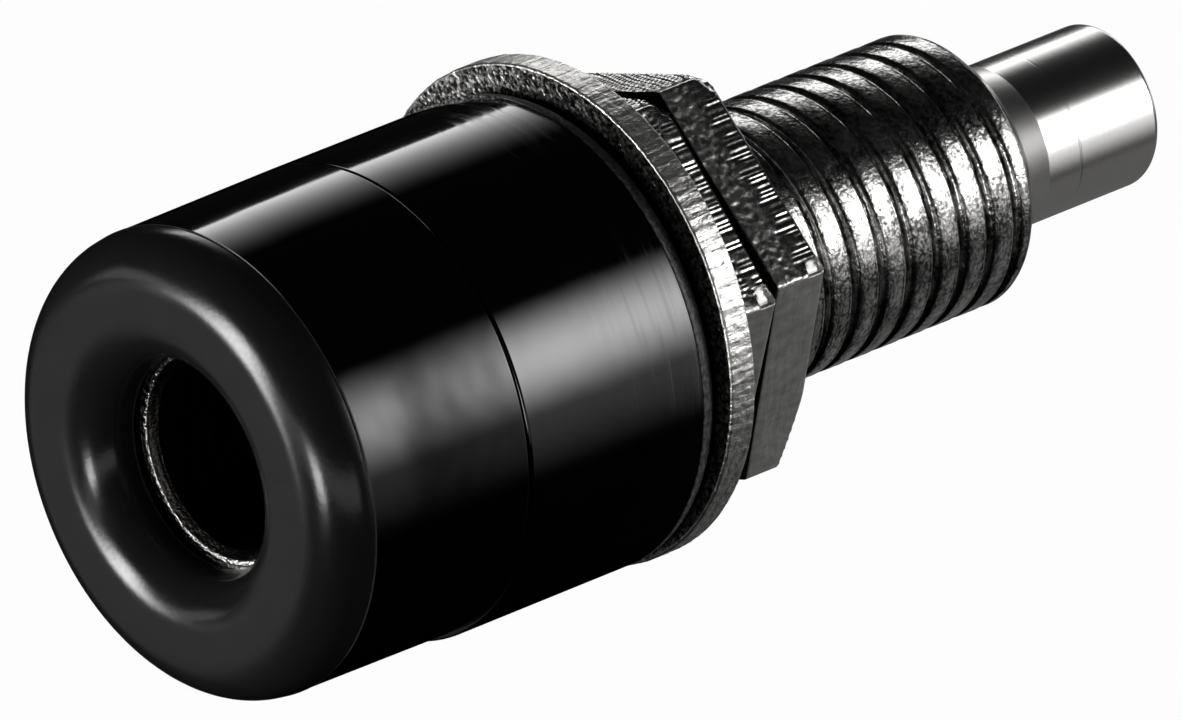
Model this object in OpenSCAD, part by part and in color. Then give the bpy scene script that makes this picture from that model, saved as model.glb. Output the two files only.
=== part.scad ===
// Insulated panel socket for a 4 mm plug.
// The axis lies along Y: the plug enters from -Y and the solder tail points to +Y.
// The origin is the centre of the panel's front face, where the two insulators meet.

/* [Insulators] */
// Outer diameter of the front insulator at the panel
body_d = 10; // [9.4:0.1:12]
// Length of the front insulator before the panel
front_l = 5.25; // [4.8:0.05:7]
// Radius lost from the panel to the nose, so that the moulding leaves its mould
draft = 0.04; // [0:0.01:0.1]
// Rounding of the nose's outer edge
nose_round = 1.05; // [0.5:0.05:1.2]
// Rounding of the lip that leads the plug into the mouth
lip_round = 1; // [0.5:0.05:1.1]
// Depth from the nose to the metal rim in the mouth
rim_depth = 1.35; // [1.2:0.05:1.8]
// Diameter of the spigot that fills the panel hole
spigot_d = 7.9; // [7.6:0.1:8.6]
// Length of the spigot behind the panel's front face
spigot_l = 3; // [2:0.1:3.4]
// Outer diameter of the rear insulator
rear_d = 10.1; // [9.4:0.1:12]
// Length of the rear insulator
rear_l = 5.2; // [4.8:0.1:7]
// Radial play between the spigot and the rear insulator's recess
spigot_gap = 0.1; // [0.05:0.01:0.15]
// How far the rear insulator hangs below the axis, within its play
rear_drop = 0.06; // [0:0.01:0.08]
// Room left between the spigot's end and the bottom of the recess
spigot_end_gap = 0.2; // [0.1:0.05:0.4]
// Rounding of the edges where the two insulators meet
seam_round = 0.05; // [0.03:0.01:0.25]
// Rounding of the rear insulator's edge at the washer
rear_round = 0.45; // [0.1:0.05:0.6]

/* [Contact] */
// Diameter of the plug bore
plug_d = 4; // [3.9:0.05:4.2]
// Depth of the plug bore at its full diameter, from the metal rim
plug_depth = 17; // [14:0.5:17.5]
// Width of the metal rim that shows round the plug bore
rim_w = 0.27; // [0.24:0.01:0.4]
// Chamfer at the mouth of the plug bore
rim_chamfer = 0.19; // [0.1:0.01:0.23]
// Diameter of the head that is moulded into the front insulator
head_d = 7; // [6.6:0.1:7.4]
// Length of the head
head_l = 2.6; // [1.5:0.1:3]
// Outer diameter of the thread
thread_d = 5.9; // [5.8:0.05:6]
// Distance from the panel's front face to the end of the thread
thread_l = 16.2; // [14.5:0.1:20]
// Chamfer at the end of the thread
thread_chamfer = 0.45; // [0.2:0.05:0.6]
// Diameter of the solder tail
tail_d = 3.5; // [3.2:0.1:4]
// Length of the solder tail
tail_l = 4.3; // [3.8:0.05:6]
// Rounding where the tail meets the end of the thread
root_round = 0.2; // [0.1:0.05:0.3]
// Radius that the tail gains in its tapered root
root_flare = 0.15; // [0:0.01:0.2]
// Length of the tapered root, from the end of the thread
root_l = 1.2; // [0.8:0.1:2]
// Rounding of the tail's rear edge
tail_round = 0.12; // [0.05:0.01:0.2]
// Diameter of the solder cup in the tail
cup_d = 2.5; // [2:0.1:2.8]
// Depth of the solder cup at its full diameter
cup_depth = 3.6; // [2.5:0.1:3.8]

/* [Washer and nuts] */
// Outer diameter of the washer
washer_d = 10.7; // [9:0.1:12]
// Thickness of the washer
washer_t = 0.65; // [0.4:0.05:1]
// Radial play between the washer's hole and the thread
washer_play = 0.3; // [0.25:0.01:0.4]
// How far the clamped washer sits above the axis, within its play
washer_lift = 0.2; // [0:0.01:0.23]
// Width of both nuts across their flats
nut_af = 8.2; // [7.8:0.1:9]
// How much of each nut's corners is rounded away
nut_corner_cut = 0.07; // [0:0.01:0.2]
// How far each nut's hexagon sits above the axis of its thread
nut_lift = 0.22; // [0:0.01:0.25]
// Thickness of each nut
nut_t = 1.4; // [1:0.05:2.5]
// Bevel along the rear edges of a nut's flats
nut_bevel = 0.16; // [0.05:0.01:0.3]
// Radial clearance between the thread and a nut
nut_gap = 0.05; // [0.02:0.01:0.09]
// Countersink at each end of a nut's hole
nut_sink = 0.3; // [0.1:0.05:0.4]
// Corner of the panel nut above the horizontal, in degrees
panel_nut_angle = 15.5; // [0:0.5:59.5]
// Corner of the lock nut above the horizontal, in degrees
lock_nut_angle = 18.5; // [0:0.5:59.5]

/* [Hidden] */
$fn = 96;
body_r = body_d / 2;
rear_r = rear_d / 2;
nose_r = body_r - draft;
mouth_r = plug_d / 2 + rim_w;
rim_y = rim_depth - front_l;
recess_l = spigot_l + spigot_end_gap;
hole_r = thread_d / 2 + spigot_gap;
washer_y = rear_l;
panel_nut_y = washer_y + washer_t;
lock_nut_y = panel_nut_y + nut_t;
root_r = tail_d / 2 + root_flare;
tail_end_y = thread_l + tail_l;
drill_half_angle = 59;
// Length by which a cutting shape passes the face that it cuts
cut = 1;

// Turns a shape made along Z so that it lies along Y, at a distance y from the panel's front face
module along_y(y = 0) {
    translate([0, y, 0]) rotate([-90, 0, 0]) children();
}

// Corner waste of a profile: what a rounding takes off a corner at the given point.
// side_r and side_y are 1 or -1 and point from the corner into the profile.
module corner_waste(point, radius, side_r, side_y) {
    translate(point) mirror([side_r < 0 ? 1 : 0, 0]) mirror([0, side_y < 0 ? 1 : 0]) difference() {
        translate([-cut, -cut]) square(radius + cut);
        translate([radius, radius]) circle(radius);
    }
}

// Solid of a drilled blind hole with its conical end, drilled along +Z from z = 0
module drilled_hole(diameter, depth) {
    translate([0, 0, -cut]) cylinder(d = diameter, h = depth + cut);
    translate([0, 0, depth])
        cylinder(d1 = diameter, d2 = 0, h = diameter / 2 / tan(drill_half_angle));
}

// Black moulded cap: drafted barrel, rounded nose, rolled lip and the spigot for the panel hole
module front_insulator() {
    color([0.05, 0.05, 0.06]) along_y() rotate_extrude() difference() {
        union() {
            translate([mouth_r, -front_l]) square([nose_r - mouth_r, nose_round]);
            polygon([
                [mouth_r, nose_round - front_l],
                [nose_r, nose_round - front_l],
                [body_r, -seam_round],
                [body_r, 0],
                [mouth_r, 0]
            ]);
            translate([mouth_r, 0]) square([spigot_d / 2 - mouth_r, spigot_l]);
        }
        corner_waste([nose_r, -front_l], nose_round, -1, 1);
        corner_waste([mouth_r, -front_l], lip_round, 1, 1);
        corner_waste([body_r, 0], seam_round, -1, -1);
        corner_waste([spigot_d / 2, spigot_l], seam_round, -1, -1);
        translate([0, rim_y]) square([head_d / 2, head_l]);
        translate([0, rim_y]) square([thread_d / 2, spigot_l + cut - rim_y]);
    }
}

// Black moulded sleeve behind the panel, with the recess that takes the spigot
module rear_insulator() {
    color([0.05, 0.05, 0.06]) translate([0, 0, -rear_drop]) along_y() rotate_extrude() difference() {
        translate([hole_r, 0]) square([rear_r - hole_r, rear_l]);
        translate([0, -cut]) square([spigot_d / 2 + spigot_gap, recess_l + cut]);
        corner_waste([rear_r, 0], seam_round, -1, 1);
        corner_waste([rear_r, rear_l], rear_round, -1, -1);
    }
}

// Flat plated washer, clamped a little off the axis
module washer() {
    color([0.75, 0.75, 0.73]) translate([0, 0, washer_lift]) along_y(washer_y) difference() {
        cylinder(d = washer_d, h = washer_t);
        translate([0, 0, -cut]) cylinder(d = thread_d + 2 * washer_play, h = washer_t + 2 * cut);
    }
}

// Slab between two opposite flats of a nut, standing on z = 0, with its upper edges bevelled
module flat_pair() {
    half = nut_af / 2;
    rotate([90, 0, 0]) linear_extrude(2 * nut_af, center = true) polygon([
        [-half, 0],
        [half, 0],
        [half, nut_t - nut_bevel],
        [half - nut_bevel, nut_t],
        [nut_bevel - half, nut_t],
        [-half, nut_t - nut_bevel]
    ]);
}

// Thin hexagon nut, standing on z = 0, turned by an angle: what three slabs share, with rounded corners.
// Its hexagon is a little off the axis of its threaded hole.
module hexagon_nut(angle) {
    corner_r = nut_af / 2 / cos(30);
    bore_r = thread_d / 2 + nut_gap;
    difference() {
        translate([0, -nut_lift, 0]) intersection() {
            cylinder(r = corner_r - nut_corner_cut, h = nut_t);
            intersection_for(turn = [30, 90, 150]) rotate(turn - angle) flat_pair();
        }
        translate([0, 0, -cut]) cylinder(r = bore_r, h = nut_t + 2 * cut);
        cylinder(r1 = bore_r + nut_sink, r2 = bore_r, h = nut_sink);
        translate([0, 0, nut_t - nut_sink]) cylinder(r1 = bore_r, r2 = bore_r + nut_sink, h = nut_sink);
    }
}

// Nut that clamps the stack on the panel
module panel_nut() {
    color([0.68, 0.68, 0.66]) along_y(panel_nut_y) hexagon_nut(panel_nut_angle);
}

// Nut that locks the first one
module lock_nut() {
    color([0.68, 0.68, 0.66]) along_y(lock_nut_y) hexagon_nut(lock_nut_angle);
}

// Turned contact: moulded-in head, plug bore, threaded shank and solder tail
module contact_body() {
    color([0.7, 0.7, 0.68]) along_y() difference() {
        rotate_extrude() difference() {
            union() {
                translate([0, rim_y]) square([head_d / 2, head_l]);
                polygon([
                    [0, rim_y],
                    [thread_d / 2, rim_y],
                    [thread_d / 2, thread_l - thread_chamfer],
                    [thread_d / 2 - thread_chamfer, thread_l],
                    [0, thread_l]
                ]);
                translate([0, thread_l]) square([root_r + root_round, root_round]);
                polygon([
                    [0, thread_l],
                    [root_r, thread_l],
                    [root_r, thread_l + root_round],
                    [tail_d / 2, thread_l + root_l],
                    [tail_d / 2, tail_end_y],
                    [0, tail_end_y]
                ]);
            }
            translate([root_r + root_round, thread_l + root_round]) circle(root_round);
            corner_waste([tail_d / 2, tail_end_y], tail_round, -1, -1);
        }
        translate([0, 0, rim_y]) drilled_hole(plug_d, plug_depth);
        translate([0, 0, rim_y])
            cylinder(r1 = plug_d / 2 + rim_chamfer, r2 = plug_d / 2, h = rim_chamfer);
        translate([0, 0, tail_end_y]) mirror([0, 0, 1]) drilled_hole(cup_d, cup_depth);
    }
}

front_insulator();
rear_insulator();
washer();
panel_nut();
lock_nut();
contact_body();
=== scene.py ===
# Insulated panel socket for a 4 mm plug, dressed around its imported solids.
# The axis lies along Y: the plug enters from -Y, the solder tail points to +Y, and +Z is up.
import bpy
import numpy as np
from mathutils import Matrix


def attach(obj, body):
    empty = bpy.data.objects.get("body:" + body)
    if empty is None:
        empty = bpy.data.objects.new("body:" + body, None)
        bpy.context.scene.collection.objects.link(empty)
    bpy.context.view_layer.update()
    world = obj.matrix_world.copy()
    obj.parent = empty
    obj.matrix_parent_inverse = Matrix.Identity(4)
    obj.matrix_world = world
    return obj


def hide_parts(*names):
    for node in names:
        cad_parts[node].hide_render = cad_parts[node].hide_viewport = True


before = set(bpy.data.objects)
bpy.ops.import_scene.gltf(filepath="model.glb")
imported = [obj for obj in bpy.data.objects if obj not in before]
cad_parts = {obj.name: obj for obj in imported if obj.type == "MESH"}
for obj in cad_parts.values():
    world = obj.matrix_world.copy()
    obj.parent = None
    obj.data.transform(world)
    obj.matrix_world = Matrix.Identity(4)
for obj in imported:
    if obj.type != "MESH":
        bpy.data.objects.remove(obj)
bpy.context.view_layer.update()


# Contact body: one bar of brass, turned, bored for the plug, threaded on its shank and drilled as
# a solder cup in its tail, then plated with nickel. Its head is moulded into the front insulator.
# Sizes are in mm from the panel's front face along Y and from the axis.

RIM_Y, HEAD_END_Y, THREAD_END_Y, TAIL_END_Y = -3.9, -1.3, 16.2, 20.5
PLUG_R, RIM_R, HEAD_R, CREST_R, TAIL_R, CUP_R = 2.0, 2.19, 3.49, 2.95, 1.75, 1.25
PLUG_END_Y, CUP_END_Y, RIM_CHAMFER = 13.1, 16.9, 0.19
DRILL_SLOPE = np.tan(np.radians(31))
PITCH, THREAD_DEPTH, ROOT_FLAT, CREST_DOME, VALLEY_POWER = 0.75, 0.4, 0.04, 0.06, 12
BURR, BURR_PLACE, BURR_WIDTH = 0.05, 0.35, 0.05
THREAD_START_Y, THREAD_CHAMFER, END_CHAMFER = 2.65, 0.45, 0.42
RUN_IN, RUN_OUT, RUN_OUT_MARGIN, ROWS_PER_TURN = 0.5, 0.34, 0.06, 22
ROOT_R, ROOT_END_Y, TURNED_LINE_Y, SHANK_LEAST_R = 1.93, 17.4, 18.3, 2.3
THREAD_LOOK_Y, TAIL_LOOK_Y = 15.9, 16.05
CONTACT_COLUMNS, MM_PER_M = 192, 1000.0
NICKEL, WORN_NICKEL = (0.56, 0.552, 0.54), (0.06, 0.058, 0.055)
# Near black and brown for the painted shade in the bore.
BORE_SHADE_BLACK, BORE_SHADE_BROWN = (0.006, 0.006, 0.006), (0.045, 0.041, 0.037)


def rounded(corners, steps=7, lead_share=0.2, longest_lead=0.02):
    """Profile through corners (r, y, rounding): each corner gives way to an arc tangent to its two
    sides, with one more point just outside each end of the arc, so that smooth shading keeps the sides
    straight."""
    points = [np.array([corners[0][:2]])]
    for before, corner, after in zip(corners[:-2], corners[1:-1], corners[2:]):
        here, size = np.array(corner[:2]), corner[2]
        if size == 0:
            points.append(here[None])
            continue
        back, onward = np.array(before[:2]) - here, np.array(after[:2]) - here
        back, onward = back / np.linalg.norm(back), onward / np.linalg.norm(onward)
        half = np.arccos(np.clip(back @ onward, -1, 1)) / 2
        reach = size / np.tan(half)
        middle = here + (back + onward) / np.linalg.norm(back + onward) * size / np.sin(half)
        start, end = here + back * reach - middle, here + onward * reach - middle
        sweep = np.pi - 2 * half
        share = np.linspace(0, 1, steps)[:, None]
        arc = middle + (np.sin((1 - share) * sweep) * start + np.sin(share * sweep) * end) / np.sin(sweep)
        lead = min(lead_share * size, longest_lead)
        points += [arc[:1] + back * lead, arc, arc[-1:] + onward * lead]
    return np.vstack(points + [np.array([corners[-1][:2]])])


def turned(name, radius, along, first_angle=0.0, lift=0.0, loop=True):
    """Surface of revolution on a grid, in mm: row j and column i give the point at radius[j, i] from
    the Y axis and along[j, i] on it, turned by first_angle + 2 pi i / columns from +X towards +Z and
    lifted along Z. A loop joins the last row to the first, and otherwise the two end rows are single
    points on the axis."""
    radius, along = np.broadcast_arrays(radius, along)
    rows, columns = radius.shape
    angle = first_angle + 2 * np.pi * np.arange(columns) / columns
    grid = np.stack([radius * np.cos(angle), along, radius * np.sin(angle) + lift], axis=-1) / MM_PER_M
    if loop:
        points = grid.reshape(-1, 3)
        index = np.arange(rows * columns).reshape(rows, columns)
        index = np.vstack([index, index[:1]])
        caps = []
    else:
        points = np.vstack([grid[0, :1], grid[1:-1].reshape(-1, 3), grid[-1, :1]])
        index = 1 + np.arange((rows - 2) * columns).reshape(rows - 2, columns)
        first, last = index[0], index[-1]
        tips = np.zeros(columns, int), np.full(columns, len(points) - 1)
        caps = np.stack([tips[0], first, np.roll(first, -1)], -1).tolist()
        caps += np.stack([last, tips[1], np.roll(last, -1)], -1).tolist()
    beside = np.roll(index, -1, axis=1)
    quads = np.stack([index[:-1], index[1:], beside[1:], beside[:-1]], -1).reshape(-1, 4)
    mesh = bpy.data.meshes.new(name)
    mesh.from_pydata(points, [], quads.tolist() + caps)
    mesh.shade_smooth()
    made = bpy.data.objects.new(name, mesh)
    bpy.context.scene.collection.objects.link(made)
    return made


def thread_drop(angle, along):
    """Depth of the right-hand thread below its crest, from 0 to 1: the place within a turn is
    along / pitch + angle / 2 pi, and its distance from the crest gives a low dome, by its square, with
    narrow valleys, by a high power. A thin burr, a bell curve, stands on the rear edge of each turn."""
    place = (along / PITCH + angle / (2 * np.pi)) % 1.0
    from_valley = 2 * np.abs(place - 0.5)
    rise = np.clip((from_valley - ROOT_FLAT) / (1 - ROOT_FLAT), 0, 1)
    burr = BURR * (1 - np.exp(-((place - BURR_PLACE) / BURR_WIDTH) ** 2))
    dome = CREST_DOME * (1 - rise) ** 2
    return np.minimum(burr + dome + (1 - CREST_DOME) * (1 - rise) ** VALLEY_POWER, 1)


class Shade:
    """One socket of a material's nodes. Operators on values add Math nodes, and node() adds any other."""

    def __init__(self, tree, socket=None):
        self.tree, self.socket = tree, socket

    def node(self, kind, settings, inputs, output=0):
        """Adds a node of this kind: its settings first, then the values or links of its sockets."""
        made = self.tree.nodes.new("ShaderNode" + kind)
        for key, value in settings.items():
            setattr(made, key, value)
        for key, value in inputs.items():
            if isinstance(value, Shade):
                self.tree.links.new(value.socket, made.inputs[key])
            else:
                made.inputs[key].default_value = value
        return Shade(self.tree, made.outputs[output])

    def maths(self, operation, first, second):
        """Adds a Math node on two values."""
        return self.node("Math", {"operation": operation}, {0: first, 1: second})

    def __add__(self, other):
        return self.maths("ADD", self, other)

    def __sub__(self, other):
        return self.maths("SUBTRACT", self, other)

    def __rsub__(self, other):
        return self.maths("SUBTRACT", other, self)

    def __mul__(self, other):
        return self.maths("MULTIPLY", self, other)

    def __pow__(self, other):
        return self.maths("POWER", self, other)

    __radd__, __rmul__ = __add__, __mul__

    def step(self, low, high):
        """Smooth step from 0 at low to 1 at high, falling where low is the greater."""
        return self.node("MapRange", {"interpolation_type": "SMOOTHSTEP"},
                         {"Value": self, "From Min": low, "From Max": high})

    def noise(self, stretch, detail=2.0):
        """Noise from 0 to 1 over a place in mm, with so many grains to the mm along X, Y and Z."""
        place = self.node("VectorMath", {"operation": "MULTIPLY"}, {0: self, 1: stretch})
        return self.node("TexNoise", {}, {"Vector": place, "Scale": 1.0, "Detail": detail})

    def along(self, axis):
        """One coordinate of a place: X, Y or Z."""
        return self.node("SeparateXYZ", {}, {0: self}, axis)

    def from_axis(self, lift=0.0):
        """Distance of a place from the line along Y that lies this far above the axis."""
        x, z = self.along("X"), self.along("Z") - lift
        return (x * x + z * z) ** 0.5

    def colour(self, low, high):
        """Mix of two colours by this value."""
        return self.node("Mix", {"data_type": "RGBA"}, {0: self, 6: (*low, 1.0), 7: (*high, 1.0)}, 2)


def finish_of(piece, name, metallic=0.0):
    """New material on a piece. Gives its shader, the place on the surface in mm, and the place's y."""
    finish = bpy.data.materials.new(name)
    finish.use_nodes = True
    piece.data.materials.append(finish)
    shader = finish.node_tree.nodes["Principled BSDF"]
    shader.inputs["Metallic"].default_value = metallic
    here = Shade(finish.node_tree).node("TexCoord", {}, {}, "Object")
    place = here.node("VectorMath", {"operation": "SCALE"}, {0: here, "Scale": MM_PER_M})
    return shader, place, place.along("Y")


def lay(shader, colour, roughness, height):
    """Links a finish to its shader: colour, roughness, and a bump height in mm."""
    links = colour.tree.links
    links.new(colour.socket, shader.inputs["Base Color"])
    links.new(roughness.socket, shader.inputs["Roughness"])
    bump = height.node("Bump", {}, {"Strength": 1.0, "Distance": 1 / MM_PER_M, "Height": height})
    links.new(bump.socket, shader.inputs["Normal"])


bore_and_head = rounded([
    (0.0, PLUG_END_Y + PLUG_R * DRILL_SLOPE, 0), (PLUG_R, PLUG_END_Y, 0.05),
    (PLUG_R, RIM_Y + RIM_CHAMFER, 0.03), (RIM_R, RIM_Y, 0.07), (HEAD_R, RIM_Y + 0.005, 0.1),
    (HEAD_R, HEAD_END_Y, 0.1), (CREST_R, HEAD_END_Y, 0.1), (CREST_R, THREAD_START_Y - 0.05, 0)])
thread_y = np.arange(THREAD_START_Y, THREAD_END_Y - THREAD_CHAMFER, PITCH / ROWS_PER_TURN)
thread_rows = np.stack([np.full_like(thread_y, CREST_R), thread_y], -1)
end_and_tail = rounded([
    (CREST_R, thread_y[-1] + 0.02, 0), (CREST_R, THREAD_END_Y - END_CHAMFER, 0.12),
    (CREST_R - END_CHAMFER, THREAD_END_Y, 0.2), (ROOT_R, THREAD_END_Y, 0.2), (TAIL_R, ROOT_END_Y, 0.1),
    (TAIL_R, TAIL_END_Y, 0.12), (CUP_R, TAIL_END_Y, 0.06), (CUP_R, CUP_END_Y, 0.05),
    (0.0, CUP_END_Y - CUP_R * DRILL_SLOPE, 0)])
contact_profile = np.vstack([bore_and_head, thread_rows, end_and_tail])
contact_r, contact_y = contact_profile[:, :1], contact_profile[:, 1:]
contact_turn = 2 * np.pi * np.arange(CONTACT_COLUMNS) / CONTACT_COLUMNS
depth = np.zeros_like(contact_y)
outside = slice(len(bore_and_head), None)
depth[outside] = THREAD_DEPTH * (contact_r[outside] > SHANK_LEAST_R) * (
    np.clip((contact_y[outside] - THREAD_START_Y) / RUN_IN, 0, 1)
    * np.clip((THREAD_END_Y - RUN_OUT_MARGIN - contact_y[outside]) / RUN_OUT, 0, 1))
threaded_r = contact_r - depth * thread_drop(contact_turn, contact_y)
contact = turned("contact_turning", threaded_r, contact_y, loop=False)
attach(contact, "socket")
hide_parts("contact_body")

shader, place, y = finish_of(contact, "turned_nickel", metallic=1.0)
from_axis = place.from_axis()
on_thread = y.step(TAIL_LOOK_Y, THREAD_LOOK_Y) * y.step(0.0, 2.0)
in_bore = from_axis.step(RIM_R - 0.01, RIM_R - 0.03) * y.step(15.0, 14.4)
at_rim = y.step(RIM_Y + 0.3, RIM_Y + 0.1)
at_root = y.step(ROOT_END_Y + 0.02, ROOT_END_Y - 0.02) * y.step(THREAD_LOOK_Y, TAIL_LOOK_Y)
mottle = place.noise((6.0, 6.0, 6.0), 3.0)
grit = place.noise((14.0, 14.0, 14.0), 2.0)
lathe = place.noise((0.9, 20.0, 0.9), 2.0)
turned_line = y.step(TURNED_LINE_Y - 0.04, TURNED_LINE_Y) * y.step(TURNED_LINE_Y + 0.04, TURNED_LINE_Y)
tarnish = from_axis.step(CREST_R - 0.17, CREST_R - 0.45) * on_thread
wear = (tarnish * 0.4 + (mottle - 0.5) * 0.5).step(0.0, 1.0)
specks = place.noise((10.0, 10.0, 10.0), 3.0).step(0.42, 0.62) * on_thread
patches = place.noise((1.6, 1.6, 1.6), 2.0).step(0.4, 0.6) * on_thread
plated = (wear + patches * 0.45 + specks * 0.5).colour(NICKEL, WORN_NICKEL)
# Painted shade: the bore and the flat of the rim are painted near black, varying to brown along the lathe
# marks, as shade deep in the plug's hole. A thin grainy ring at the rim's edge keeps the plated colour.
bore_shade = lathe.step(0.4, 0.7).colour(BORE_SHADE_BLACK, BORE_SHADE_BROWN)
ring_width = from_axis.step(RIM_R - 0.06, RIM_R - 0.04) * from_axis.step(RIM_R + 0.07, RIM_R + 0.06)
bright_ring = ring_width * grit.step(0.35, 0.5)
painted_shade = in_bore.maths("MAXIMUM", in_bore, at_rim * (1 - bright_ring))
colour = in_bore.node("Mix", {"data_type": "RGBA"}, {0: painted_shade, 6: plated, 7: bore_shade}, 2)
roughness = 0.22 + on_thread * (0.15 * mottle - 0.07) + 0.2 * in_bore + 0.08 * at_root
relief = (on_thread * (mottle * 0.012 + grit * 0.007) + at_rim * grit * 0.045
          + (1 - on_thread) * lathe * 0.0018 - turned_line * 0.002)
lay(shader, colour, roughness, relief)


# Front insulator: black plastic moulded round the contact's head. Its glossy barrel ends at a fine
# parting line, and the nose before it is duller, with a rolled lip that leads the plug in.

BODY_R, NOSE_R, NOSE_Y, MOUTH_R, SPIGOT_R, SPIGOT_END_Y = 5.0, 4.96, -5.25, 2.27, 3.95, 3.0
NOSE_ROUND, LIP_ROUND, SEAM_ROUND, PART_Y, RIDGE_H = 1.05, 0.999, 0.05, -4.15, 0.013
SEAT_GAP, SINK_Y, ROUND_COLUMNS = 0.01, -3.0, 256
PLASTIC_GLOSS, PLASTIC_BLACK, DULL_BLACK = 0.4, (0.0008, 0.0008, 0.0009), (0.03, 0.03, 0.031)

cap_profile = rounded([
    (3.6, NOSE_Y, 0), (NOSE_R, NOSE_Y, NOSE_ROUND), (NOSE_R, PART_Y - 0.025, 0),
    (NOSE_R + RIDGE_H, PART_Y - 0.012, 0), (NOSE_R + RIDGE_H, PART_Y + 0.012, 0),
    (NOSE_R + 0.0005, PART_Y + 0.025, 0), (NOSE_R + 0.001, PART_Y + 0.05, 0), (BODY_R, 0.0, SEAM_ROUND),
    (SPIGOT_R, 0.0, 0.05), (SPIGOT_R, SPIGOT_END_Y, SEAM_ROUND), (CREST_R + SEAT_GAP, SPIGOT_END_Y, 0.05),
    (CREST_R + SEAT_GAP, HEAD_END_Y + SEAT_GAP, 0.05), (HEAD_R + SEAT_GAP, HEAD_END_Y + SEAT_GAP, 0.05),
    (HEAD_R + SEAT_GAP, RIM_Y, 0.05), (MOUTH_R, RIM_Y, 0.02), (MOUTH_R, NOSE_Y, LIP_ROUND),
    (3.5, NOSE_Y, 0)], steps=17)
cap = turned("front_moulding", np.repeat(cap_profile[:, :1], ROUND_COLUMNS, 1), cap_profile[:, 1:])
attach(cap, "socket")
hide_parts("front_insulator")


def flow_waves(place):
    """Long shallow waves in a moulded barrel, on its right side."""
    return place.noise((0.9, 0.9, 0.9), 1.0) * place.along("X").step(1.5, 3.5)


shader, place, y = finish_of(cap, "black_moulding")
shader.inputs["Specular IOR Level"].default_value = PLASTIC_GLOSS
on_nose = y.step(PART_Y, PART_Y - 0.05)
on_ridge = y.step(PART_Y - 0.035, PART_Y - 0.01) * y.step(PART_Y + 0.035, PART_Y + 0.01)
grain = place.noise((13.0, 13.0, 13.0), 2.0)
ripple = place.noise((1.2, 0.6, 1.2), 1.0)
from_sink = y - SINK_Y
sink = 0.009 * (from_sink * from_sink + 0.1) ** 0.5
dullness = on_nose * 0.25 * (0.5 + grain) + on_ridge * (0.2 + grain)
roughness = 0.05 + 0.05 * ripple + on_nose * (0.07 + 0.11 * grain) + 0.2 * on_ridge
relief = on_nose * grain * 0.0018 + ripple * 0.002 + (1 - on_nose) * (flow_waves(place) * 0.004 + sink)
lay(shader, dullness.colour(PLASTIC_BLACK, DULL_BLACK), roughness, relief)


# Rear insulator: a sleeve of black moulded plastic that slides on the thread and takes the spigot in its
# recess. It hangs a little below the axis, and its edge at the washer is dull from the mould.

REAR_R, REAR_END_Y, REAR_ROUND, REAR_LIFT = 5.05, 5.2, 0.45, -0.06
REAR_START_Y, HOLE_R, RECESS_R, RECESS_END_Y = 0.015, 3.05, 4.05, 3.2
EDGE_GREY = (0.11, 0.11, 0.112)

sleeve_profile = rounded([
    (4.5, REAR_START_Y, 0), (REAR_R, REAR_START_Y, SEAM_ROUND), (REAR_R, REAR_END_Y, REAR_ROUND),
    (HOLE_R, REAR_END_Y, 0.05), (HOLE_R, RECESS_END_Y, 0.05), (RECESS_R, RECESS_END_Y, 0.05),
    (RECESS_R, REAR_START_Y, 0.05), (4.4, REAR_START_Y, 0)], steps=9)
sleeve = turned("rear_moulding", np.repeat(sleeve_profile[:, :1], ROUND_COLUMNS, 1), sleeve_profile[:, 1:],
                lift=REAR_LIFT)
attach(sleeve, "clamp_stack")
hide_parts("rear_insulator")

shader, place, y = finish_of(sleeve, "black_sleeve")
shader.inputs["Specular IOR Level"].default_value = PLASTIC_GLOSS
at_edge = y.step(REAR_END_Y - 0.52, REAR_END_Y - 0.46)
speckled = at_edge * y.step(REAR_END_Y - 0.05, REAR_END_Y - 0.2)
grain = place.noise((11.0, 11.0, 11.0), 3.0)
on_top = place.along("Z").step(-0.2, 1.0)
streaks = place.noise((0.5, 7.0, 0.5), 2.0).step(0.45, 0.7) * y.step(1.0, 4.5) * on_top
ripple = place.noise((1.2, 0.6, 1.2), 1.0)
dullness = speckled * (0.25 + grain.step(0.4, 0.65))
roughness = 0.05 + 0.05 * ripple + 0.1 * streaks + at_edge * (0.25 + 0.25 * grain)
relief = at_edge * grain * 0.02 + streaks * 0.0005 + ripple * 0.002 + flow_waves(place) * 0.005
lay(shader, dullness.colour(PLASTIC_BLACK, EDGE_GREY), roughness, relief)


# Washer: a flat ring blanked from brass sheet and plated. The blanking leaves short marks along the axis
# on its rim, and the clamped washer sits above the axis by the play in its hole.

WASHER_R, WASHER_HOLE_R, WASHER_Y, WASHER_END_Y, WASHER_LIFT = 5.345, 3.25, 5.2, 5.85, 0.2
WASHER_COLUMNS, BLANKING_MARKS, BLANKING_DEPTH, MARKED_RIM, RIM_ROWS = 1440, 320, 0.018, 0.12, 9
BRIGHT_NICKEL, STAIN_AND_SHADE_BLACK = (0.7, 0.69, 0.67), (0.01, 0.0098, 0.0095)

rim_y = np.linspace(WASHER_Y + 0.1, WASHER_END_Y - 0.06, RIM_ROWS)
washer_rim = np.stack([np.full(RIM_ROWS, WASHER_R), rim_y], -1)
washer_profile = np.vstack([
    rounded([(4.0, WASHER_Y, 0), (WASHER_R, WASHER_Y, 0.06), (WASHER_R, WASHER_Y + 0.09, 0)]),
    washer_rim,
    rounded([(WASHER_R, WASHER_END_Y - 0.05, 0), (WASHER_R, WASHER_END_Y, 0.04),
             (WASHER_HOLE_R, WASHER_END_Y, 0.05), (WASHER_HOLE_R, WASHER_Y, 0.05), (3.9, WASHER_Y, 0)])])


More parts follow.
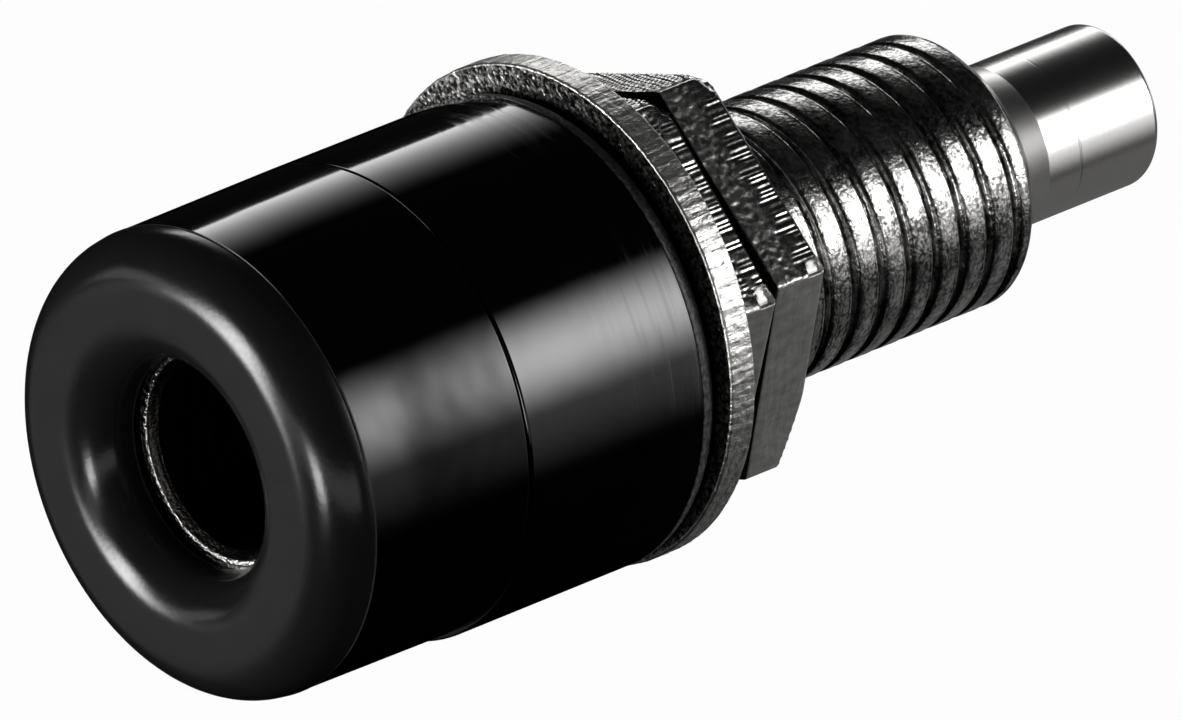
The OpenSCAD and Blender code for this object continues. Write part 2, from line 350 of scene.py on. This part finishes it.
def blanking_marks(rows, columns, marks, seed):
    """Depths from 0 to 1 of marks along the axis on a grid: random heights at evenly spaced places round
    the rim, joined smoothly, with one set at the front of the rim giving way to another at its back."""
    random = np.random.default_rng(seed)
    spot = np.arange(columns) * marks / columns
    whole, part = spot.astype(int), spot % 1
    ease = part * part * (3 - 2 * part)
    front, back = random.random((2, marks + 1))
    front[-1], back[-1] = front[0], back[0]
    front = front[whole] * (1 - ease) + front[whole + 1] * ease
    back = back[whole] * (1 - ease) + back[whole + 1] * ease
    share = np.linspace(0, 1, rows)[:, None]
    return front * (1 - share) + back * share


on_rim = np.clip((washer_profile[:, :1] - WASHER_R + MARKED_RIM) / MARKED_RIM, 0, 1)
marks_on_rim = blanking_marks(len(washer_profile), WASHER_COLUMNS, BLANKING_MARKS, seed=4)
marked_r = washer_profile[:, :1] - BLANKING_DEPTH * on_rim * marks_on_rim
ring = turned("washer_ring", marked_r, washer_profile[:, 1:], lift=WASHER_LIFT)
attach(ring, "clamp_stack")
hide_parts("washer")

shader, place, y = finish_of(ring, "blanked_nickel", metallic=1.0)
mottle = place.noise((6.0, 6.0, 6.0), 3.0)
fine_marks = place.noise((9.0, 1.5, 9.0), 2.0)
on_front = y.step(WASHER_Y + 0.03, WASHER_Y + 0.01)
on_face = on_front * place.from_axis(WASHER_LIFT).step(WASHER_R - 0.04, WASHER_R - 0.07)
dark_specks = place.noise((11.0, 11.0, 11.0), 3.0).step(0.6, 0.4)
# Painted shade: the front face, behind the barrel, is painted near black with dark specks. The mottle adds
# random stains over the whole washer.
stains_and_painted_shade = mottle.step(0.35, 0.75) * 0.3 + on_face * (0.6 + 0.3 * dark_specks)
roughness = 0.32 + 0.12 * mottle - 0.06 * on_face
relief = mottle * 0.026 + fine_marks * 0.022
lay(shader, stains_and_painted_shade.colour(BRIGHT_NICKEL, STAIN_AND_SHADE_BLACK), roughness, relief)


# Nuts: two thin hexagon nuts cut from drawn brass bar, bevelled on their rear edges, tapped and plated.
# They screw onto the contact's thread. The cutting tool has left ridges along the axis on their flats.

NUT_APOTHEM, NUT_BEVEL, NUT_CORNER_R, NUT_T, NUT_LIFT = 4.1, 0.13, 4.72, 1.4, 0.22
NUT_BORE_R, NUT_SINK, NUT_CREST_H, NUT_RING_R, NUT_FACE_R = 3.0, 0.3, 0.105, 3.35, 3.7
NUT_COLUMNS, FLAT_ROWS, BORE_ROWS = 1500, 25, 18
FRONT_EDGE, CORNER_EASE, LEAST_BEVEL = 0.03, 0.008, 0.01
RIDGES_END, RIDGES_FADE = 0.44, 0.08
BAR_PITCH, BAR_DEPTH, BAR_KINDS, FLAT_SHIFT = 0.122, 0.016, 97, 10
NEAR_FLAT, UPPER_FLAT, LOWER_FLAT = 0, 1, 5
FLAT_STRENGTH = np.array([1.0, 1.0, 0.1, 0.8, 0.3, 0.1])
CORNER_CUT = np.array([0.0, 0.2, 0.15, 0.15, 0.15, 0.0])
CUT_REACH, CUT_START = 0.3, 0.7
CONE_CORNER, CONE_R, CONE_SLOPE, CONE_REACH, CONE_FADE = 5, 4.14, 1.6, 2.0, 1.3
WORN_SLOPE = np.tan(np.radians(16))
WORN_MIDDLE, WORN_HALF, WORN_EDGE, WORN_PAST_CORNER, FIRST_WORN_ROW = 0.84, 0.15, 0.02, 0.05, 24
NUT_NICKEL, STAINED_NICKEL, NUT_PAINTED_SHADE = (0.58, 0.572, 0.56), (0.15, 0.146, 0.14), (0.012, 0.011, 0.01)


def scales(spot, share):
    """Two sets of waves that cross at a slant, over the whole thickness."""
    first = np.cos(2 * np.pi * (spot + 0.30 * share) / 0.19 + 3 * np.sin(spot * 1.3))
    second = np.cos(2 * np.pi * (spot - 0.35 * share) / 0.15 + 2 * np.sin(spot * 2.1))
    return 0.01 * (2 + first + second)


def bars(spot, share, begin, seed):
    """Waves across the axis, each with its own random size, that set in at about a share begin of the
    thickness, at a random distance for each."""
    random = np.random.default_rng(seed)
    begins, sizes = random.random((2, BAR_KINDS))
    place = spot / BAR_PITCH + 0.4 * np.sin(spot * 2.3) + 0.22 * np.sin(spot * 13.7)
    which = np.floor(place).astype(int) % BAR_KINDS
    sets_in = np.clip((share - begin - 0.4 * (begins[which] - 0.5)) / 0.06, 0, 1)
    return BAR_DEPTH * (0.2 + 0.8 * sizes[which]) * sets_in * (0.5 - 0.5 * np.cos(2 * np.pi * place))


def double_row(spot, share):
    """Two rows of bars, one behind the other."""
    return bars(spot, share, 0.3, 1) * (share < 0.66) + bars(spot + 0.05, share, 0.66, 2)


def single_row(spot, share):
    """One row of bars along the rear edge."""
    return bars(spot, share, 0.6, 3)


def nut(name, body, start_y, corner_angle, tool_marks, worn_size):
    """Hexagon nut as a grid round the hexagon's own axis: each column is one direction, and the rows run
    round the nut's section. The outside is the distance to the flat, apothem / cos of the angle from the
    flat's middle, with eased corners, less the depth of the tool's ridges at that place on the flat and
    share of the thickness, and less what is worn or cut off the rear corners: an oval plane at the first,
    a cone at the last and bell curves at the others. The threaded hole lies NUT_LIFT below: a circle
    seen from a point off its middle."""
    turn = 2 * np.pi * np.arange(NUT_COLUMNS) / NUT_COLUMNS
    angle = corner_angle + turn
    flat = (turn // (np.pi / 3)).astype(int)
    from_flat = (turn % (np.pi / 3)) - np.pi / 6
    spot = NUT_APOTHEM * np.tan(from_flat)
    plain = NUT_APOTHEM / np.cos(from_flat)
    outside = NUT_APOTHEM - CORNER_EASE * np.log(
        np.exp((NUT_APOTHEM - plain) / CORNER_EASE) + np.exp((NUT_APOTHEM - NUT_CORNER_R) / CORNER_EASE))
    rear_face = (NUT_APOTHEM - NUT_BEVEL) / np.cos(from_flat)
    ease = 0.5 + 0.5 * np.cos(np.clip((np.abs(from_flat) - RIDGES_END) / RIDGES_FADE, 0, 1) * np.pi)
    gap = NUT_APOTHEM * np.tan(np.pi / 6) - np.abs(spot)
    nearest = np.round(turn / (np.pi / 3)).astype(int) % 6
    cut = CORNER_CUT[nearest] * np.exp(-(gap / CUT_REACH) ** 2)
    by_cone = (nearest == CONE_CORNER) * np.clip((CONE_REACH - gap) / CONE_FADE, 0, 1)

    def below(radius):
        """Distance from the hexagon's axis to a circle round the hole's axis."""
        return -NUT_LIFT * np.sin(angle) + np.sqrt(radius ** 2 - (NUT_LIFT * np.cos(angle)) ** 2)

    before_corner = (flat == NEAR_FLAT) & (spot < 0)
    past_corner = (flat == LOWER_FLAT) & (spot > 0) & (gap < WORN_PAST_CORNER)
    oval = WORN_HALF * np.sqrt(np.clip(1 - (gap / worn_size) ** 2, 0, 1)) * before_corner
    oval += WORN_HALF * past_corner
    worn_depth = WORN_SLOPE * np.where(
        flat == NEAR_FLAT, worn_size - gap, worn_size * np.clip(1 - gap / WORN_PAST_CORNER, 0, 1))
    hole_angle = np.arctan2(below(NUT_BORE_R) * np.sin(angle) + NUT_LIFT, below(NUT_BORE_R) * np.cos(angle))
    smooth = np.zeros_like(turn)
    rows = [(below(NUT_RING_R), 0), (NUT_FACE_R, 0), (outside - 0.05, 0), (outside - 0.03, 0.002),
            (outside - 0.009, 0.01), (outside, FRONT_EDGE)]
    for share in np.linspace(1 / FLAT_ROWS, 1.0, FLAT_ROWS):
        worn = worn_depth * np.clip((oval - abs(share - WORN_MIDDLE)) / WORN_EDGE, 0, 1)
        in_rows = tool_marks(spot + FLAT_SHIFT * flat, share)
        marks = np.where(flat == UPPER_FLAT, scales(spot, share), in_rows)
        smooth = np.maximum(smooth, worn > 0)
        ridges = ease * FLAT_STRENGTH[flat] * marks * (worn == 0)
        height = FRONT_EDGE + (NUT_T - NUT_BEVEL - FRONT_EDGE) * share
        cone = CONE_R + CONE_SLOPE * (NUT_T - NUT_BEVEL - height)
        edge = outside - ridges - worn - cut * np.clip((share - CUT_START) / (1 - CUT_START), 0, 1) ** 2
        edge = edge - by_cone * np.clip(edge - cone, 0, None)
        rows.append((edge, height))
    bevel = LEAST_BEVEL + by_cone * (CONE_SLOPE * NUT_BEVEL - LEAST_BEVEL)
    rear_face = np.minimum(rear_face, edge - bevel)
    for share in (0.02, 0.1, 0.5, 0.94):
        rows.append((edge + (rear_face - edge) * share, NUT_T - NUT_BEVEL * (1 - share)))
    rows += [(rear_face, NUT_T - 0.004), (rear_face - 0.02, NUT_T), (NUT_FACE_R, NUT_T),
             (below(NUT_RING_R), NUT_T)]
    for height in np.linspace(NUT_T, 0, BORE_ROWS):
        sink = max(NUT_SINK - min(height, NUT_T - height), 0)
        bore = NUT_BORE_R - THREAD_DEPTH * thread_drop(hole_angle, start_y + height)
        rows.append((below(np.maximum(bore, NUT_BORE_R + sink - NUT_CREST_H)), height))
    radius = np.array([radius + 0 * turn for radius, height in rows])
    along = np.array([height + 0 * turn for radius, height in rows])
    made = turned(name, radius, start_y + along, first_angle=corner_angle, lift=NUT_LIFT)
    tooled = np.tile(FLAT_STRENGTH[flat], (len(rows), 1))
    tooled[FIRST_WORN_ROW:] *= 1 - smooth
    made.data.attributes.new("tooled", "FLOAT", "POINT").data.foreach_set("value", tooled.ravel())
    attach(made, body)
    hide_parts(body)
    return made


def milled_finish(piece, name, start_y):
    """Plated flats: coarse grains and pits where the tool has marked them, a matt grey with faint streaks
    where it hasn't, and a front face painted near black as painted shade for the gap in front of it."""
    shader, place, y = finish_of(piece, name, metallic=1.0)
    off_face = place.from_axis().step(NUT_FACE_R, NUT_FACE_R + 0.1)
    tooled = place.node("Attribute", {"attribute_name": "tooled"}, {}, "Fac") * off_face
    grain = place.noise((5.0, 2.5, 5.0), 3.0)
    pits = place.noise((6.5, 6.5, 6.5), 0.5)
    stains = place.noise((9.0, 9.0, 9.0), 3.0).step(0.35, 0.65)
    along_bars = y.step(start_y + 0.6, start_y + 0.85) * tooled
    streaks = place.noise((2.0, 6.0, 2.0), 2.0)
    plated = (grain.step(0.3, 0.75) * 0.4 + tooled * 0.6 * stains).colour(NUT_NICKEL, STAINED_NICKEL)
    # Painted shade: the front face is painted near black, for the gap between the nuts and against the
    # washer.
    shaded_face = y.step(start_y + 0.03, start_y + 0.01)
    colour = shaded_face.node("Mix", {"data_type": "RGBA"}, {0: shaded_face, 6: plated, 7: (*NUT_PAINTED_SHADE, 1.0)}, 2)
    roughness = 0.38 - 0.12 * tooled - 0.08 * along_bars + 0.08 * grain
    marked = tooled * (1 - 0.75 * along_bars) * (grain * 0.008 - pits * 0.028)
    lay(shader, colour, roughness, marked + (1 - tooled) * streaks * 0.012)
    tooled.tree.links.new((0.72 + 0.28 * tooled).socket, shader.inputs["Metallic"])


PANEL_NUT_Y, LOCK_NUT_Y = 5.85, 7.25
panel_nut = nut("panel_hexagon", "panel_nut", PANEL_NUT_Y, np.radians(15.5), double_row, worn_size=0.42)
lock_nut = nut("lock_hexagon", "lock_nut", LOCK_NUT_Y, np.radians(18.5), single_row, worn_size=0.32)
milled_finish(panel_nut, "milled_nickel", PANEL_NUT_Y)
milled_finish(lock_nut, "milled_nickel_lock", LOCK_NUT_Y)


# Studio: a pale floor well below the socket, soft cards of light round it, a graded card under it and
# a dark one behind it to the left, as for a small shiny product. Sizes are in metres from here on.

scene = bpy.context.scene
scene.view_settings.view_transform = "Standard"
LENS_MM, SENSOR_MM, FRAME_WIDTH = 1000.0, 36, 0.023763
AIM = np.array([2.86, 3.62, 0.733]) / MM_PER_M
AZIMUTH, ELEVATION = np.radians(47.3), np.radians(25.8)
FLOOR_Z, CARD_POINTS = -0.1, 65


def direction_of(azimuth, elevation):
    """Direction at an azimuth from -Y towards +X and an elevation above the horizon, in radians."""
    level = np.cos(elevation)
    return np.array([np.sin(azimuth) * level, -np.cos(azimuth) * level, np.sin(elevation)])


camera = bpy.data.objects.new("camera", bpy.data.cameras.new("camera"))
camera.data.lens = LENS_MM
camera.data.clip_start, camera.data.clip_end = 0.01, 20.0
camera.location = AIM + direction_of(AZIMUTH, ELEVATION) * FRAME_WIDTH * LENS_MM / SENSOR_MM
camera.rotation_euler = (np.pi / 2 - ELEVATION, 0.0, AZIMUTH)
scene.collection.objects.link(camera)
scene.camera = camera


def card(name, place, glow):
    """Card as a grid: the point (u, v), each from -1 to 1, lies at place(u, v) and keeps glow(u, v) as an
    attribute for its light."""
    u, v = np.meshgrid(np.linspace(-1, 1, CARD_POINTS), np.linspace(-1, 1, CARD_POINTS))
    points = place(u[..., None], v[..., None])
    index = np.arange(u.size).reshape(u.shape)
    corners = [index[:-1, :-1], index[:-1, 1:], index[1:, 1:], index[1:, :-1]]
    mesh = bpy.data.meshes.new(name)
    mesh.from_pydata(points.reshape(-1, 3), [], np.stack(corners, -1).reshape(-1, 4).tolist())
    mesh.attributes.new("glow", "FLOAT", "POINT").data.foreach_set("value", glow(u, v).ravel())
    made = bpy.data.objects.new(name, mesh)
    scene.collection.objects.link(made)
    return made


def card_finish(piece, albedo, strength):
    """Matt card of one grey, lit from within by its glow."""
    finish = bpy.data.materials.new(piece.name)
    finish.use_nodes = True
    piece.data.materials.append(finish)
    piece.visible_camera = False
    shader = finish.node_tree.nodes["Principled BSDF"]
    shader.inputs["Base Color"].default_value = (albedo, albedo, albedo, 1.0)
    shader.inputs["Specular IOR Level"].default_value = 0.0
    shader.inputs["Emission Strength"].default_value = strength
    glow = Shade(finish.node_tree).node("Attribute", {"attribute_name": "glow"}, {})
    finish.node_tree.links.new(glow.socket, shader.inputs["Emission Color"])
    return shader, glow


def soft(share):
    """Smooth step from 0 to 1."""
    share = np.clip(share, 0, 1)
    return share * share * (3 - 2 * share)


def no_glow(u, v):
    """No light of its own."""
    return 0 * u


def round_the_axis(name, low, high, length, strength, glow, distance=0.4):
    """Curved card that the barrel shows as a stripe: u runs through the directions from low to high, in
    degrees round the Y axis from +X to +Z, on the cone that the barrel mirrors to the camera, and v
    across the cone to the front."""
    cone_y, cone_r = 0.61, 0.792

    def place(u, v):
        angle = np.radians((low + high) / 2 + u * (high - low) / 2)
        radius = cone_r * distance + v * length * cone_y
        along = cone_y * distance - v * length * cone_r
        return np.concatenate([radius * np.cos(angle), along, radius * np.sin(angle)], axis=-1)

    card_finish(card(name, place, glow), 0.0, strength)


def ahead(name, azimuth, elevation, width, height, lean, strength, glow, distance=0.25):
    """Card in front of the nose, at an azimuth from -Y towards +X, of an angular width and height, in
    degrees, whose top leans to the right."""
    azimuth, elevation, lean = np.radians(azimuth), np.radians(elevation), np.radians(lean)
    out = direction_of(azimuth, elevation)
    level = np.array([np.cos(azimuth), np.sin(azimuth), 0])
    upright = np.cross(out, level)
    across = (level * np.cos(lean) - upright * np.sin(lean)) * np.tan(np.radians(width / 2))
    tall = (upright * np.cos(lean) + level * np.sin(lean)) * np.tan(np.radians(height / 2))
    card_finish(card(name, lambda u, v: distance * (out + u * across + v * tall), glow), 0.0, strength)


def left_glow(u, v):
    """Brightest at the card's lower end, and cut short at the front."""
    return ((u + 1) / 2) ** 2.2 * soft((0.5 - v) / 0.2)


RIGHT_LOW, RIGHT_HIGH = -42.0, 52.0


def right_glow(u, v):
    """Brightest at 23 degrees round the axis, with a weak tail below, stronger behind, and cut short at
    both ends."""
    degrees = (RIGHT_LOW + RIGHT_HIGH) / 2 + u * (RIGHT_HIGH - RIGHT_LOW) / 2
    below = 0.07 * soft((degrees + 34) / 34) + 0.07 * soft((-0.03 - v) / 0.04) * soft((degrees + 46) / 40)
    across = soft(1 - abs(degrees - 23) / 27) + below * soft((16 - degrees) / 20)
    return across * soft((0.22 - v) / 0.2) * soft((v + 0.45) / 0.15)


def faded_glow(u, v):
    """Brightest in the middle, fading to all sides."""
    return soft(1 - abs(u)) * soft((1 - abs(v)) * 1.4)


def even_glow(u, v):
    """Even, with soft edges."""
    return soft((1 - abs(u)) * 4) * soft((1 - abs(v)) * 4)


def dark_place(u, v):
    """Upright card behind the socket to the left."""
    return np.array([-0.34, 0.075, 0]) + u * [0.11, 0.325, 0] + v * [0, 0, 0.08]


round_the_axis("left_softbox", 121.0, 157.0, 0.2, 5.4, left_glow)
round_the_axis("right_softbox", RIGHT_LOW, RIGHT_HIGH, 0.08, 12.0, right_glow, distance=0.16)
ahead("front_softbox", -25, 0, 23, 46, 33, 26.0, faded_glow)
ahead("low_softbox", 21, -5, 18, 13, 0, 18.0, even_glow)
card_finish(card("dark_card", dark_place, no_glow), 0.02, 0.0)

# The graded card is dark where the black barrel mirrors it. It is pale in front on the left, for the nose,
# and behind the cone of directions that the barrel's rear end mirrors, for the metal parts.
CARD_Z, CARD_HALF, CONE_STEEPNESS = FLOOR_Z + 0.005, 0.6, 0.77


def graded_place(u, v):
    """Level card just above the floor."""
    return u * [CARD_HALF, 0, 0] + v * [0, CARD_HALF, 0] + [0, 0, CARD_Z]


graded = card("graded_card", graded_place, no_glow)
shader, glow = card_finish(graded, 0.0, 1.0)
here = glow.node("TexCoord", {}, {}, "Object")
x, y = here.along("X"), here.along("Y")
mirrored_y = y - CONE_STEEPNESS * (x * x + CARD_Z ** 2) ** 0.5
in_front = 0.26 * x.step(-0.01, -0.13) * x.step(-0.5, -0.15) * y.step(-0.02, -0.07)
behind = 0.34 * mirrored_y.step(0.0058, 0.0075) - 0.16 * mirrored_y.step(0.0095, 0.015)
graded_glow = in_front + behind * (0.75 + 0.25 * x.step(-0.1, 0.15))
graded.active_material.node_tree.links.new(graded_glow.socket, shader.inputs["Emission Color"])

# The camera and mirrors see the floor as white, and other rays see it as pale and matt. The world is
# white below the horizon and nearly black above it.
FLOOR_HALF, FLOOR_PALE, FLOOR_WHITE_SHARE = 3.0, (0.86, 0.86, 0.86, 1.0), 0.98
WHITE, NIGHT = (1.0, 1.0, 1.0), (0.01, 0.01, 0.01)


def floor_place(u, v):
    """Level floor."""
    return u * [FLOOR_HALF, 0, 0] + v * [0, FLOOR_HALF, 0] + [0, 0, FLOOR_Z]


def seen(start):
    """1 on rays from the camera, in mirrors and through glass, and 0 on other rays."""
    camera_ray, glossy, through = (start.node("LightPath", {}, {}, "Is %s Ray" % kind)
                                   for kind in ("Camera", "Glossy", "Transmission"))
    return start.node("Clamp", {}, {"Value": camera_ray + glossy + through})


floor = card("pale_floor", floor_place, no_glow)
floor_finish = bpy.data.materials.new("pale_floor")
floor_finish.use_nodes = True
floor.data.materials.append(floor_finish)
start = Shade(floor_finish.node_tree)
matt = start.node("BsdfDiffuse", {}, {"Color": FLOOR_PALE})
white = start.node("Emission", {}, {"Color": (*WHITE, 1.0), "Strength": 1.0})
mixed = start.node("MixShader", {}, {0: seen(start) * FLOOR_WHITE_SHARE, 1: matt, 2: white})
floor_surface = floor_finish.node_tree.nodes["Material Output"].inputs["Surface"]
floor_finish.node_tree.links.new(mixed.socket, floor_surface)

world = bpy.data.worlds.new("studio")
world.use_nodes = True
scene.world = world
start = Shade(world.node_tree)
upward = start.node("TexCoord", {}, {}, "Generated").along("Z")
sky = upward.step(0.06, 0.14).colour(WHITE, NIGHT)
world.node_tree.links.new(sky.socket, world.node_tree.nodes["Background"].inputs["Color"])
